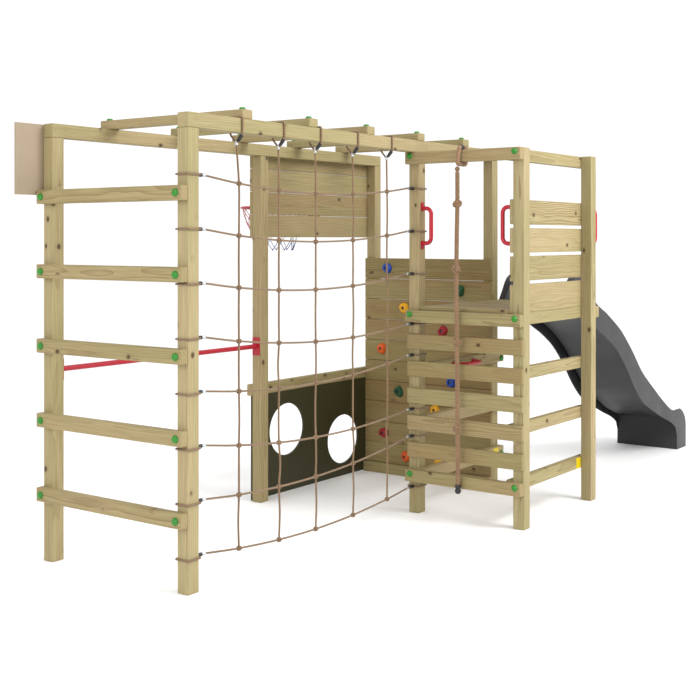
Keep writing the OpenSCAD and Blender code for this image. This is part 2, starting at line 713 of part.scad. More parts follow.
post_at(0, 0);  // post_wallbar_front
post_at(0, gym_d);  // post_wallbar_back
post_at(goal_x, gym_d);  // post_goal
post_at(net_span, 0);  // post_net
post_at(net_span, -tower_d);  // post_deck_front
post_at(tower_x, -tower_d);  // post_slide_front
post_at(tower_x, 0);  // post_slide_back
post_at(tower_x, gym_d);  // post_climb_back
beam_at(0);  // beam_front
beam_at(gym_d);  // beam_back
monkey_rungs();
wall_bar(0);  // wall_bar_1
wall_bar(1);  // wall_bar_2
wall_bar(2);  // wall_bar_3
wall_bar(3);  // wall_bar_4
wall_bar(4);  // wall_bar_5
rope_side_rail(post_h - rail_h);  // rope_header
ladder_side_rail(post_h - rail_h);  // tower_top_rail
rope_side_rail(deck_rail_z);  // deck_rail_rope
ladder_side_rail(deck_rail_z);  // deck_rail_ladder
net_side_rail(deck_rail_z);  // deck_rail_net
deck_rail_slide();
deck_boards();
rope_side_slats();
rope_side_rail(slat_rail_z);  // slat_bottom_rail
ladder_rungs();
net_side_rungs();
guard_boards();
climb_wall_boards();
climb_wall_bottom_rail();
holds(blue_holds, "#1248a0");  // holds_blue
holds(green_holds, "#0f4a28");  // holds_green
holds(yellow_holds, "#e0b010");  // holds_yellow
holds(red_holds, "#a80f22");  // holds_red
holds(orange_holds, "#d85a10");  // holds_orange
hold_bolts();
grab_handle_net();
grab_handle_deck();
grab_handle_slide();
rung_grip();
goal_rail();
goal_panel();
backboard();
hoop_ring();
hoop_net();
turn_bar();
slide();
sign_board();
tag_plates();
coach_bolts();
bolt_caps();
net_cords();
net_knots();
net_fittings();
rope_hitch();
rope_swivel();
climbing_rope();
rope_knots();
rope_end_cap();
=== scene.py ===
import json
import math

import bmesh
import bpy
import numpy as np
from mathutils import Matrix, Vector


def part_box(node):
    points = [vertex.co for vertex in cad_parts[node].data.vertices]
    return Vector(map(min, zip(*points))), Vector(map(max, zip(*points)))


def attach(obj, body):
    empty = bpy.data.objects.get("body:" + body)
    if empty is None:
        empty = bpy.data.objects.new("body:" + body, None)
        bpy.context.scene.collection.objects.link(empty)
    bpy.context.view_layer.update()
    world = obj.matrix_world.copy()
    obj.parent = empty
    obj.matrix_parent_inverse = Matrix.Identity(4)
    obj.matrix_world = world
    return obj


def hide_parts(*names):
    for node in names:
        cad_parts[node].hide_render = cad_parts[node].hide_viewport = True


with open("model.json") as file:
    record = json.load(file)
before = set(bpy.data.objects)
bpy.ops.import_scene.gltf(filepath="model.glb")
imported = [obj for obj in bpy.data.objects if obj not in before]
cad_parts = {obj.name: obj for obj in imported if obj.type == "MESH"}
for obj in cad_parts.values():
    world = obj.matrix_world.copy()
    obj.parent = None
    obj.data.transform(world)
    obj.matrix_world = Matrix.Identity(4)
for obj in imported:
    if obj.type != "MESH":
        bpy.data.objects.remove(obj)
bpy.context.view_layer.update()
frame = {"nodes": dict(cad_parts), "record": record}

bl_info = {
    "name": "Timber climbing frame",
    "version": (1, 0, 0),
    "blender": (4, 5, 0),
    "location": "View3D > Sidebar > Climbing frame",
    "description": "Dresses a timber climbing frame with grain, rope, moulded plastic and a studio",
    "category": "Object",
}

X, Y, Z = 0, 1, 2

# Sizes shared with the frame, in metres
POST, HALF = 0.070, 0.035
BEAM_LOW, BEAM_TOP = 2.130, 2.200
NET_SPAN, TOWER_X, TOWER_D, GYM_D = 1.865, 2.720, 0.705, 0.950
GOAL_X, RAIL_T, MID_H = 1.540, 0.045, 0.035
FAR_X = TOWER_X + HALF
TOWER_FACE = NET_SPAN - HALF
DECK_TOP, DECK_RAIL = 1.222, 1.130
SLAT_RAIL, SLAT_H, GOAL_RAIL = 0.193, 0.088, 0.650
BAR_FIRST, BAR_PITCH = 0.342, 0.372
LADDER_FIRST, LADDER_PITCH = 0.235, 0.310
HOOP_Y = 1.355
BACK = GYM_D + HALF
WALL_FACE = TOWER_X - HALF - 0.022
CORD_R, CORD_OFF = 0.005, 0.0055
STAGGER = 0.012
RUNG_X = 0.360 + 0.5 * np.arange(5)


# ------------------------------------------------------------------ small tools

def linear(text):
    """An sRGB hex colour as linear red, green, blue and alpha."""
    c = np.array([int(text[i:i + 2], 16) / 255 for i in (1, 3, 5)])
    c = np.where(c <= 0.04045, c / 12.92, ((c + 0.055) / 1.055) ** 2.4)
    return (*c.tolist(), 1.0)


def shades(values):
    """A colour property, already linear, as four numbers."""
    return (values[0], values[1], values[2], 1.0)


def add(tree, kind, inputs=None, **settings):
    """Adds a node with its settings and its input values or links, and returns it."""
    node = tree.nodes.new(kind)
    for key, value in settings.items():
        setattr(node, key, value)
    for key, value in (inputs or {}).items():
        if isinstance(value, bpy.types.NodeSocket):
            tree.links.new(value, node.inputs[key])
        else:
            node.inputs[key].default_value = value
    return node


def new_material(name):
    """An empty node material: its tree, its shader and the material itself."""
    mat = bpy.data.materials.new(name)
    mat.use_nodes = True
    tree = mat.node_tree
    tree.nodes.clear()
    shader = add(tree, "ShaderNodeBsdfPrincipled")
    add(tree, "ShaderNodeOutputMaterial", {"Surface": shader.outputs[0]})
    return mat, tree, shader


def maths(tree, kind, a, b=0.0, c=0.0):
    """The result of one sum on up to three numbers."""
    return add(tree, "ShaderNodeMath", {0: a, 1: b, 2: c}, operation=kind).outputs[0]


def vectors(tree, kind, a, b):
    """The product, sum or difference of two vectors."""
    return add(tree, "ShaderNodeVectorMath", {0: a, 1: b}, operation=kind).outputs[0]


def blend(tree, factor, a, b):
    """Two colours mixed by a factor."""
    return add(tree, "ShaderNodeMix", {0: factor, 6: a, 7: b}, data_type="RGBA").outputs[2]


def spread(tree, value, low, high, to_low=0.0, to_high=1.0):
    """A value stretched from one range to another and held inside it."""
    return add(tree, "ShaderNodeMapRange", {"Value": value, "From Min": low, "From Max": high,
                                            "To Min": to_low, "To Max": to_high}, clamp=True).outputs[0]


def quads(rows, cols, wrap_rows=False, wrap_cols=False):
    """Quads of a grid of points, row by row, closed round either way if asked."""
    i = np.arange(rows if wrap_rows else rows - 1)[:, None]
    j = np.arange(cols if wrap_cols else cols - 1)[None, :]
    k, m = (i + 1) % rows, (j + 1) % cols
    corners = np.broadcast_arrays(i * cols + j, i * cols + m, k * cols + m, k * cols + j)
    return np.stack(corners, -1).reshape(-1, 4)


class Shape:
    """Points, faces, texture places and point attributes gathered for one piece."""

    def __init__(self):
        self.points, self.faces, self.places, self.marks, self.count = [], [], [], {}, 0

    def grid(self, points, wrap_rows=False, wrap_cols=False, caps=False, places=None, **marks):
        """Adds a grid of points, with flat ends if asked; `places` are its texture places."""
        rows, cols = points.shape[:2]
        faces = quads(rows, cols, wrap_rows, wrap_cols)
        if places is None:
            u = np.broadcast_to(np.arange(cols + 1) / cols, (rows + 1, cols + 1))
            v = np.broadcast_to(np.arange(rows + 1)[:, None] / rows, (rows + 1, cols + 1))
            places = np.stack([u, v], -1)
        i = np.arange(rows if wrap_rows else rows - 1)[:, None]
        j = np.arange(cols if wrap_cols else cols - 1)[None, :]
        corner = [places[i, j], places[i, j + 1], places[i + 1, j + 1], places[i + 1, j]]
        self.places.append(np.stack(corner, 2).reshape(-1, 2))
        self.faces += (faces + self.count).tolist()
        if caps:
            first = np.arange(cols)[::-1]
            for ring in (first, (rows - 1) * cols + np.arange(cols)):
                self.faces.append((ring + self.count).tolist())
                self.places.append(np.zeros((cols, 2)))
        self.points.append(points.reshape(-1, 3))
        for key, value in marks.items():
            self.marks.setdefault(key, []).append(np.asarray(value, float))
        self.count += rows * cols

    def piece(self, name, material, body, slot, replaced=(), weighted=False):
        """Makes the smooth mesh object, with its normals facing out, and ties it to its body."""
        mesh = bpy.data.meshes.new(name)
        points = np.concatenate(self.points)
        mesh.from_pydata(points.tolist(), [], self.faces)
        layer = mesh.uv_layers.new(name="surface")
        layer.data.foreach_set("uv", np.concatenate(self.places).astype(np.float32).ravel())
        for key, value in self.marks.items():
            value = np.concatenate(value).astype(np.float32)
            form = "FLOAT_VECTOR" if value.ndim == 2 else "FLOAT"
            mark = mesh.attributes.new(key, form, "POINT")
            mark.data.foreach_set("vector" if value.ndim == 2 else "value", value.ravel())
        tidy = bmesh.new()
        tidy.from_mesh(mesh)
        bmesh.ops.recalc_face_normals(tidy, faces=tidy.faces)
        tidy.to_mesh(mesh)
        tidy.free()
        mesh.polygons.foreach_set("use_smooth", np.full(len(mesh.polygons), True))
        mesh.materials.append(material)
        thing = bpy.data.objects.new(name, mesh)
        bpy.context.scene.collection.objects.link(thing)
        if weighted:
            thing.modifiers.new("Flat faces", "WEIGHTED_NORMAL").weight = 100
        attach(thing, body)
        if replaced:
            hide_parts(*replaced)
        return thing


def dress(node, material):
    """Gives a CAD node a material in place of its plain one."""
    mesh = frame["nodes"][node].data
    mesh.materials.clear()
    mesh.materials.append(material)


def unit(v):
    """Vectors made one long."""
    return v / np.maximum(np.linalg.norm(v, axis=-1, keepdims=True), 1e-9)


def tube(shape, path, radius, sides, ref, closed=False, lay=0.0, strands=3, depth=0.0):
    """A circle of `radius` carried along `path`: P = C(s) + r (N cos a + B sin a), where N is square to the
    run and to `ref`. With a lay, r = radius (1 - depth + depth |cos(strands (a - 2 pi s / lay) / 2)|), which
    is a laid rope."""
    path = np.asarray(path, float)
    run = np.roll(path, -1, 0) - np.roll(path, 1, 0) if closed else np.gradient(path, axis=0)
    run = unit(run)
    side = unit(np.cross(run, ref))
    up = np.cross(run, side)
    gaps = np.linalg.norm(np.diff(path, axis=0), axis=1)
    along = np.r_[0, np.cumsum(gaps)]
    turn = 2 * np.pi * np.arange(sides) / sides
    r = np.full((len(path), sides), radius) if np.isscalar(radius) else np.repeat(radius[:, None], sides, 1)
    if lay and depth:
        wound = turn[None, :] - 2 * np.pi * along[:, None] / lay
        r = r * (1 - depth + depth * np.abs(np.cos(strands * wound / 2)))
    points = (path[:, None] + r[..., None] * (side[:, None] * np.cos(turn)[None, :, None]
                                            + up[:, None] * np.sin(turn)[None, :, None]))
    u = np.arange(sides + 1) / sides
    v = np.r_[along, along[-1] + (np.linalg.norm(path[0] - path[-1]) if closed else 0.001)]
    places = np.stack(np.broadcast_arrays(u[None, :], v[:, None]), -1)
    shape.grid(points, wrap_rows=closed, wrap_cols=True, caps=not closed, places=places)


def smooth_line(points, step):
    """A Catmull-Rom line through the points, with a point about every `step`."""
    p = np.asarray(points, float)
    p = np.vstack([2 * p[0] - p[1], p, 2 * p[-1] - p[-2]])
    out = []
    for a, b, c, d in zip(p[:-3], p[1:-2], p[2:-1], p[3:]):
        t = np.linspace(0, 1, max(2, int(np.linalg.norm(c - b) / step)), endpoint=False)[:, None]
        out.append(0.5 * (2 * b + (c - a) * t + (2 * a - 5 * b + 4 * c - d) * t ** 2
                          + (3 * b - a - 3 * c + d) * t ** 3))
    return np.vstack(out + [p[-2:-1]])


def rounded(points, radius, closed=False, steps=6):
    """A polyline whose corners are quadratic curves that start `radius` before each corner."""
    p = np.asarray(points, float)
    before, after = np.roll(p, 1, 0), np.roll(p, -1, 0)
    a = p + unit(before - p) * radius
    b = p + unit(after - p) * radius
    t = np.linspace(0, 1, steps)[None, :, None]
    curve = (1 - t) ** 2 * a[:, None] + 2 * t * (1 - t) * p[:, None] + t ** 2 * b[:, None]
    if closed:
        return curve.reshape(-1, 3)
    return np.vstack([p[:1], curve[1:-1].reshape(-1, 3), p[-1:]])


def turned(shape, at, out, profile, sides, lobes=0, swell=0.0):
    """A profile of (radius, height) pairs turned about the direction `out` at `at`, where
    r = radius (1 + swell cos(lobes a))."""
    out = unit(np.asarray(out, float))
    ref = np.array([0.0, 0.0, 1.0]) if abs(out[2]) < 0.9 else np.array([1.0, 0.0, 0.0])
    side = unit(np.cross(out, ref))
    up = np.cross(out, side)
    profile = np.asarray(profile, float)
    turn = 2 * np.pi * np.arange(sides) / sides
    r = profile[:, :1] * (1 + swell * np.cos(lobes * turn))[None, :]
    points = (np.asarray(at, float) + profile[:, 1][:, None, None] * out
              + r[..., None] * (side * np.cos(turn)[:, None] + up * np.sin(turn)[:, None])[None])
    shape.grid(points, wrap_cols=True, caps=True)


# ------------------------------------------------------------------ materials

def pine(settings):
    """Planed, pressure-treated pine: growth rings about each timber's own pith, knots that the rings bend
    round, a green and brown cast in patches, and a dry, slightly open surface."""
    mat, tree, shader = new_material("Pressure-treated pine")
    grain = add(tree, "ShaderNodeAttribute", attribute_name="grain").outputs["Vector"]
    tone = add(tree, "ShaderNodeAttribute", attribute_name="tone").outputs["Fac"]
    bold = add(tree, "ShaderNodeAttribute", attribute_name="bold").outputs["Fac"]
    slow = vectors(tree, "MULTIPLY", grain, (0.16, 1.0, 1.0))
    wander = add(tree, "ShaderNodeTexNoise", {"Vector": slow, "Scale": 11.0, "Detail": 2.0}).outputs["Color"]
    wander = vectors(tree, "SUBTRACT", wander, (0.5, 0.5, 0.5))
    wander = vectors(tree, "MULTIPLY", wander, (0.0, 0.045, 0.045))
    across = vectors(tree, "MULTIPLY", grain, (0.0, 1.0, 1.0))
    across = vectors(tree, "ADD", across, wander)
    radius = add(tree, "ShaderNodeVectorMath", {0: across}, operation="LENGTH").outputs["Value"]
    # Knots: cells of about 120 mm, with a knot up to 26 mm across where a cell's middle meets the surface
    squeeze = vectors(tree, "MULTIPLY", grain, (0.75, 1.0, 1.0))
    cell = add(tree, "ShaderNodeTexVoronoi", {"Vector": squeeze, "Scale": 8.4}).outputs["Distance"]
    knot = spread(tree, cell, 0.065, 0.11, 1.0, 0.0)
    halo = spread(tree, cell, 0.06, 0.24, 1.0, 0.0)
    halo = maths(tree, "POWER", halo, 2.0)
    # Growth rings, drawn about twice as coarse as the real ones so that they show
    ring = maths(tree, "MULTIPLY_ADD", halo, 0.012, radius)
    ring = maths(tree, "DIVIDE", ring, settings.ring_pitch)
    late = maths(tree, "POWER", maths(tree, "FRACT", ring), 2.6)
    strength = maths(tree, "MULTIPLY_ADD", bold, 0.62, 0.26)
    late = maths(tree, "MULTIPLY", late, strength)
    fine = vectors(tree, "MULTIPLY", grain, (5.0, 210.0, 210.0))
    fibre = add(tree, "ShaderNodeTexNoise", {"Vector": fine, "Scale": 1.0, "Detail": 3.0}).outputs[0]
    patch = add(tree, "ShaderNodeTexNoise", {"Vector": slow, "Scale": 4.5, "Detail": 3.0}).outputs[0]
    patch = spread(tree, patch, 0.40, 0.62)
    base = blend(tree, tone, shades(settings.light), shades(settings.brown))
    base = blend(tree, maths(tree, "MULTIPLY", patch, 0.5), base, shades(settings.green))
    base = blend(tree, late, base, shades(settings.latewood))
    base = blend(tree, spread(tree, fibre, 0.3, 0.75, 0.0, 0.36), base, shades(settings.latewood))
    base = blend(tree, maths(tree, "MULTIPLY", halo, 0.34), base, shades(settings.latewood))
    base = blend(tree, maths(tree, "MULTIPLY", knot, 0.86), base, shades(settings.knot))
    height = maths(tree, "MULTIPLY_ADD", late, -0.5, maths(tree, "MULTIPLY", fibre, 0.5))
    bump = add(tree, "ShaderNodeBump", {"Strength": 0.35, "Distance": 0.0009, "Height": height}).outputs[0]
    tree.links.new(base, shader.inputs["Base Color"])
    tree.links.new(bump, shader.inputs["Normal"])
    tree.links.new(spread(tree, fibre, 0.2, 0.8, 0.58, 0.76), shader.inputs["Roughness"])
    shader.inputs["Specular IOR Level"].default_value = 0.35
    return mat


def rope_fibre(name, light, dark, lay, strands=3):
    """Laid rope: strands wind round it, with painted shade in the grooves between them, fine yarns and a
    dull, hairy surface.
    """
    mat, tree, shader = new_material(name)
    place = add(tree, "ShaderNodeSeparateXYZ", {0: add(tree, "ShaderNodeUVMap", uv_map="surface").outputs[0]})
    wound = maths(tree, "MULTIPLY", place.outputs[1], -strands / lay)
    phase = maths(tree, "MULTIPLY_ADD", place.outputs[0], float(strands), wound)
    strand = maths(tree, "ABSOLUTE", maths(tree, "COSINE", maths(tree, "MULTIPLY", phase, math.pi)))
    yarn = maths(tree, "MULTIPLY_ADD", place.outputs[0], float(strands * 3),
                 maths(tree, "MULTIPLY", place.outputs[1], strands * 2.2 / lay))
    yarn = maths(tree, "ABSOLUTE", maths(tree, "SINE", maths(tree, "MULTIPLY", yarn, math.pi)))
    where = add(tree, "ShaderNodeTexCoord").outputs["Object"]
    fuzz = add(tree, "ShaderNodeTexNoise", {"Vector": where, "Scale": 240.0, "Detail": 3.0}).outputs[0]
    wear = add(tree, "ShaderNodeTexNoise", {"Vector": where, "Scale": 9.0, "Detail": 2.0}).outputs[0]
    # Painted shade: the grooves between the strands are darkened towards #33261a
    groove_shade = spread(tree, strand, 0.05, 0.62, 1.0, 0.0)
    base = blend(tree, spread(tree, fuzz, 0.35, 0.7), linear(light), linear(dark))
    base = blend(tree, maths(tree, "MULTIPLY", groove_shade, 0.72), base, linear("#33261a"))
    base = blend(tree, spread(tree, wear, 0.5, 0.75, 0.0, 0.4), base, linear(light))
    height = maths(tree, "MULTIPLY_ADD", yarn, 0.25, strand)
    height = maths(tree, "MULTIPLY_ADD", fuzz, 0.4, height)
    bump = add(tree, "ShaderNodeBump", {"Strength": 0.7, "Distance": 0.0016, "Height": height}).outputs[0]
    tree.links.new(base, shader.inputs["Base Color"])
    tree.links.new(bump, shader.inputs["Normal"])
    shader.inputs["Roughness"].default_value = 0.88
    shader.inputs["Sheen Weight"].default_value = 0.25
    return mat


def moulded(name, colour, rough, grit, depth, worn, shine=0.5):
    """Moulded plastic: `grit` is the size of its texture in metres, `worn` the colour of its scuffs."""
    mat, tree, shader = new_material(name)
    where = add(tree, "ShaderNodeTexCoord").outputs["Object"]
    grain = add(tree, "ShaderNodeTexNoise", {"Vector": where, "Scale": 1.0 / grit, "Detail": 3.0}).outputs[0]
    cloud = add(tree, "ShaderNodeTexNoise", {"Vector": where, "Scale": 6.0, "Detail": 3.0}).outputs[0]
    edge = add(tree, "ShaderNodeNewGeometry").outputs["Pointiness"]
    base = blend(tree, spread(tree, cloud, 0.35, 0.75, 0.0, 0.28), linear(colour), linear(worn))
    base = blend(tree, spread(tree, grain, 0.4, 0.75, 0.0, 0.16), base, linear(worn))
    base = blend(tree, spread(tree, edge, 0.52, 0.60, 0.0, 0.35), base, linear(worn))
    bump = add(tree, "ShaderNodeBump", {"Strength": 0.5, "Distance": depth, "Height": grain}).outputs[0]
    tree.links.new(base, shader.inputs["Base Color"])
    tree.links.new(bump, shader.inputs["Normal"])
    tree.links.new(spread(tree, cloud, 0.3, 0.7, rough - 0.05, rough + 0.08), shader.inputs["Roughness"])
    shader.inputs["IOR"].default_value = 1.49
    shader.inputs["Specular IOR Level"].default_value = shine
    return mat


def metal(name, colour, rough, streak):
    """Bare or plated metal: its colour, broken by a fine grey spangle, with a soft gloss."""
    mat, tree, shader = new_material(name)
    where = add(tree, "ShaderNodeTexCoord").outputs["Object"]
    spangle = add(tree, "ShaderNodeTexVoronoi", {"Vector": where, "Scale": streak}).outputs["Color"]
    level = add(tree, "ShaderNodeSeparateColor", {0: spangle}).outputs[0]
    base = blend(tree, spread(tree, level, 0.0, 1.0, 0.0, 0.4), linear(colour), linear("#8f959a"))
    tree.links.new(base, shader.inputs["Base Color"])
    tree.links.new(spread(tree, level, 0.0, 1.0, rough - 0.08, rough + 0.1), shader.inputs["Roughness"])
    shader.inputs["Metallic"].default_value = 1.0
    return mat


# ------------------------------------------------------------------ settings

def colour_prop(name, text, note):
    return bpy.props.FloatVectorProperty(name=name, description=note, subtype="COLOR", size=3,
                                         min=0.0, max=1.0, default=linear(text)[:3])


def size_prop(name, value, low, high, note):
    return bpy.props.FloatProperty(name=name, description=note, default=value, min=low, max=high,
                                   subtype="DISTANCE", unit="LENGTH")


def power_prop(name, value, note):
    return bpy.props.FloatProperty(name=name, description=note, default=value, min=0.0, max=5000.0,
                                   subtype="POWER", unit="POWER")


class TimberSettings(bpy.types.PropertyGroup):
    light: colour_prop("Light wood", "#ad9f78", "Colour of fresh, pale timber")
    brown: colour_prop("Brown wood", "#82683c", "Colour of darker boards")
    green: colour_prop("Green cast", "#8d8a5a", "Colour of the preservative's cast")
    latewood: colour_prop("Latewood", "#5f4724", "Colour of the rings and of the wood round knots")
    knot: colour_prop("Knot", "#3c2814", "Colour of the knots")
    ring_pitch: size_prop("Ring pitch", 0.0105, 0.003, 0.03, "Distance between growth rings")
    arris: size_prop("Arris", 0.0045, 0.001, 0.01, "Radius of the planed edges")


class RopeSettings(bpy.types.PropertyGroup):
    rope_lay: size_prop("Rope lay", 0.042, 0.02, 0.1, "Length of one turn of the rope's strands")
    cord_lay: size_prop("Cord lay", 0.020, 0.01, 0.06, "Length of one turn of the cord's strands")


class StudioSettings(bpy.types.PropertyGroup):
    key_power: power_prop("Key light", 430.0, "Power of the large light")
    fill_power: power_prop("Fill light", 150.0, "Power of the side light")
    sky: bpy.props.FloatProperty(name="Sky", description="Brightness of the white surround", default=1.08,
                                 min=0.0, max=4.0)


def once(key, maker):
    """The material of that name, made the first time it is asked for."""
    found = bpy.data.materials.get(key)
    return found or maker()


# ------------------------------------------------------------------ timber

# Node: the way its timbers run, the way they stand apart, lowest and highest tone, how many top ones are bold
TIMBERS = {
    "post_wallbar_front": (Z, None, 0.05, 0.15, 0), "post_wallbar_back": (Z, None, 0.2, 0.3, 0),
    "post_goal": (Z, None, 0.25, 0.35, 0), "post_net": (Z, None, 0.2, 0.3, 0),
    "post_deck_front": (Z, None, 0.05, 0.15, 0), "post_slide_front": (Z, None, 0.15, 0.25, 0),
    "post_slide_back": (Z, None, 0.2, 0.3, 0), "post_climb_back": (Z, None, 0.25, 0.35, 0),
    "beam_front": (X, None, 0.15, 0.25, 0), "beam_back": (X, None, 0.2, 0.3, 0),
    "monkey_rungs": (Y, X, 0.2, 0.4, 0), "wall_bar_1": (Y, None, 0.3, 0.4, 0),
    "wall_bar_2": (Y, None, 0.2, 0.35, 0), "wall_bar_3": (Y, None, 0.3, 0.45, 0),
    "wall_bar_4": (Y, None, 0.25, 0.4, 0), "wall_bar_5": (Y, None, 0.3, 0.45, 0),
    "rope_header": (Y, None, 0.4, 0.5, 0), "tower_top_rail": (X, None, 0.2, 0.3, 0),
    "deck_rail_rope": (Y, None, 0.35, 0.5, 0), "deck_rail_ladder": (X, None, 0.2, 0.3, 0),
    "deck_rail_net": (X, None, 0.3, 0.4, 0), "deck_rail_slide": (Y, None, 0.3, 0.4, 0),
    "deck_boards": (Y, X, 0.4, 0.8, 0), "rope_side_slats": (Y, Z, 0.35, 0.75, 0),
    "slat_bottom_rail": (Y, None, 0.4, 0.55, 0), "ladder_rungs": (X, Z, 0.15, 0.35, 0),
    "net_side_rungs": (X, Z, 0.3, 0.5, 0), "guard_boards": (X, Z, 0.1, 0.35, 1),
    # The climbing wall boards take the darkest tones, painted shade for the shade they stand in behind the
    # rungs
    "climb_wall_boards": (Y, Z, 0.75, 1.0, 1), "climb_wall_bottom_rail": (Y, None, 0.5, 0.6, 0),
    "goal_rail": (X, None, 0.3, 0.4, 0), "backboard": (X, Z, 0.35, 0.6, 1),
}


def solids_of(node, apart):
    """Boxes of the separate timbers in a node, told apart by the gaps between its triangles on one axis."""
    mesh = frame["nodes"][node].data
    co = np.empty(len(mesh.vertices) * 3, np.float32)
    mesh.vertices.foreach_get("co", co)
    co = co.reshape(-1, 3).astype(float)
    if apart is None:
        return [(co.min(0), co.max(0))]
    corner = np.empty(len(mesh.loops), np.int32)
    mesh.loops.foreach_get("vertex_index", corner)
    spans = co[corner.reshape(-1, 3)][:, :, apart]
    low, high = spans.min(1), spans.max(1)
    order = np.argsort(low)
    low, reach = low[order], np.maximum.accumulate(high[order])
    start = np.r_[True, low[1:] > reach[:-1] + 1e-4]
    end = np.r_[start[1:], True]
    boxes = []
    for a, b in zip(low[start], reach[end]):
        inside = co[(co[:, apart] > a - 1e-5) & (co[:, apart] < b + 1e-5)]
        boxes.append((inside.min(0), inside.max(0)))
    return boxes


def timber(shape, lo, hi, along, arris, rng, tone, bold):
    """A rounded rectangle carried along one axis. At depth r (1 - cos a) from an end it has shrunk by
    r (1 - sin a), so every edge is rounded. The grain runs along it, about a pith of its own."""
    cross = [i for i in range(3) if i != along]
    half, mid = (hi - lo)[cross] / 2, (hi + lo)[cross] / 2
    r = min(arris, half.min() * 0.4)
    corner = np.repeat(np.array([[1, 1], [-1, 1], [-1, -1], [1, -1]], float), 4, axis=0)
    turn = np.radians(np.array([0, 30, 60, 90])[None, :] + 90 * np.arange(4)[:, None]).ravel()
    bend = np.radians([0.0, 45.0, 90.0])
    shrink = r * (1 - np.sin(bend))
    depth = r * (1 - np.cos(bend))
    length = hi[along] - lo[along]
    inner = np.linspace(depth[-1], length - depth[-1], 6)[1:-1]
    station = np.r_[depth, inner, length - depth[::-1]]
    shrink = np.r_[shrink, np.zeros(len(inner)), shrink[::-1]]
    flat = (mid + (half - r) * corner)[None] + (r - shrink)[:, None, None] * np.stack(
        [np.cos(turn), np.sin(turn)], -1)[None]
    points = np.empty((len(station), 16, 3))
    points[:, :, cross[0]], points[:, :, cross[1]] = flat[..., 0], flat[..., 1]
    points[:, :, along] = lo[along] + station[:, None]
    wide = int(np.argmax(half))
    pith = np.zeros(2)
    pith[wide] = mid[wide] + rng.uniform(-0.7, 0.7) * half[wide]
    pith[1 - wide] = mid[1 - wide] + rng.choice([-1, 1]) * (half[1 - wide] + rng.uniform(0.004, 0.045))
    grain = np.stack([points[..., along] + rng.uniform(0, 40), points[..., cross[0]] - pith[0],
                      points[..., cross[1]] - pith[1]], -1).reshape(-1, 3)
    count = len(grain)
    shape.grid(points, wrap_cols=True, caps=True, grain=grain, tone=np.full(count, tone),
               bold=np.full(count, bold))


class FRAME_OT_timber(bpy.types.Operator):
    """Posts, beams, rails and boards with rounded arrises and running grain"""
    bl_idname = "climbing_frame.timber"
    bl_label = "Timber"

    def execute(self, context):
        settings = context.scene.climbing_timber
        wood = once("Pressure-treated pine", lambda: pine(settings))
        slots = {r["node"]: r["material_slot"] for r in frame["record"]["subparts"]}
        rng = np.random.default_rng(11)
        for node, (along, apart, low, high, boldest) in TIMBERS.items():
            shape = Shape()
            boxes = solids_of(node, apart)
            for i, (lo, hi) in enumerate(boxes):
                bold = 1.0 if i >= len(boxes) - boldest else rng.choice([0.0, 0.0, 0.15, 0.35])
                timber(shape, lo, hi, along, settings.arris, rng, rng.uniform(low, high), bold)
            shape.piece(node + "_wood", wood, "frame", slots[node], (node,), weighted=True)
        return {"FINISHED"}


# ------------------------------------------------------------------ fixings

def rows_of(xs, ys, zs, out):
    """Caps at every pairing of these places, all facing `out`."""
    return [((x, y, z), out) for x in xs for y in ys for z in zs]


def cap_places():
    """Where every bolt cap sits and which way it faces."""
    ends = (NET_SPAN, TOWER_X)
    ladder = LADDER_FIRST + LADDER_PITCH * np.arange(3)
    heights = np.array([BEAM_LOW - MID_H, DECK_RAIL + MID_H])
    low_rail = SLAT_RAIL + MID_H
    return (rows_of([-HALF - RAIL_T], [0, GYM_D], BAR_FIRST + BAR_PITCH * np.arange(5), (-1, 0, 0))
            + rows_of([TOWER_FACE - RAIL_T], [0, -TOWER_D], np.r_[heights, low_rail] + STAGGER, (-1, 0, 0))
            + rows_of(ends, [-TOWER_D + HALF + RAIL_T], np.r_[ladder, heights] - STAGGER, (0, 1, 0))
            + rows_of(ends, [-HALF - RAIL_T], np.r_[ladder, heights[1]] - STAGGER, (0, -1, 0))
            + rows_of([FAR_X + RAIL_T], [0, -TOWER_D], [heights[1] + STAGGER], (1, 0, 0))
            + rows_of([GOAL_X, TOWER_X], [BACK + RAIL_T], [GOAL_RAIL + MID_H], (0, 1, 0))
            + rows_of(RUNG_X, [0, GYM_D], [BEAM_TOP + RAIL_T], (0, 0, 1)))


class FRAME_OT_fixings(bpy.types.Operator):
    """Green caps over the coach bolts, and the bolts themselves"""
    bl_idname = "climbing_frame.fixings"
    bl_label = "Fixings"

    def execute(self, context):
        green = moulded("Green polypropylene cap", "#217d15", 0.3, 0.0012, 0.0002, "#175a0e")
        zinc = metal("Zinc-plated steel", "#c9ced1", 0.34, 420.0)
        shape = Shape()
        # Skirt, shoulder and a low dome with six flats
        profile = np.array([[.0185, .0], [.0185, .0022], [.0178, .0034], [.0160, .0042], [.0156, .0085],
                            [.0142, .0108], [.0112, .0124], [.0060, .0130], [.0012, .0130]])
        for at, out in cap_places():
            turned(shape, at, out, profile, 24, 6, 0.03)
        shape.piece("green_caps", green, "frame", "green_cap", ("bolt_caps",))
        dress("coach_bolts", zinc)
        # The hold bolts are dark grey steel: painted shade standing in for the shade in the holds' bolt holes
        dress("hold_bolts", metal("Dark steel as painted hole shade", "#3b3a39", 0.42, 500.0))
        return {"FINISHED"}


# ------------------------------------------------------------------ holds and handles

# Colour of each set, and its holds' places as a share of the gym bay's depth and a height
HOLDS = {
    "blue": ("#0f3f9e", [(.832, 1.418), (.28, .668)]),
    "green": ("#0b4524", [(.209, 1.275), (.729, .573)]),
    "yellow": ("#d89c08", [(.681, 1.147), (.414, .471), (.38, .112)]),
    "red": ("#93091c", [(.351, 1.004), (.863, .279)]),
    "orange": ("#cf520c", [(.881, .860), (.667, .133)]),
}


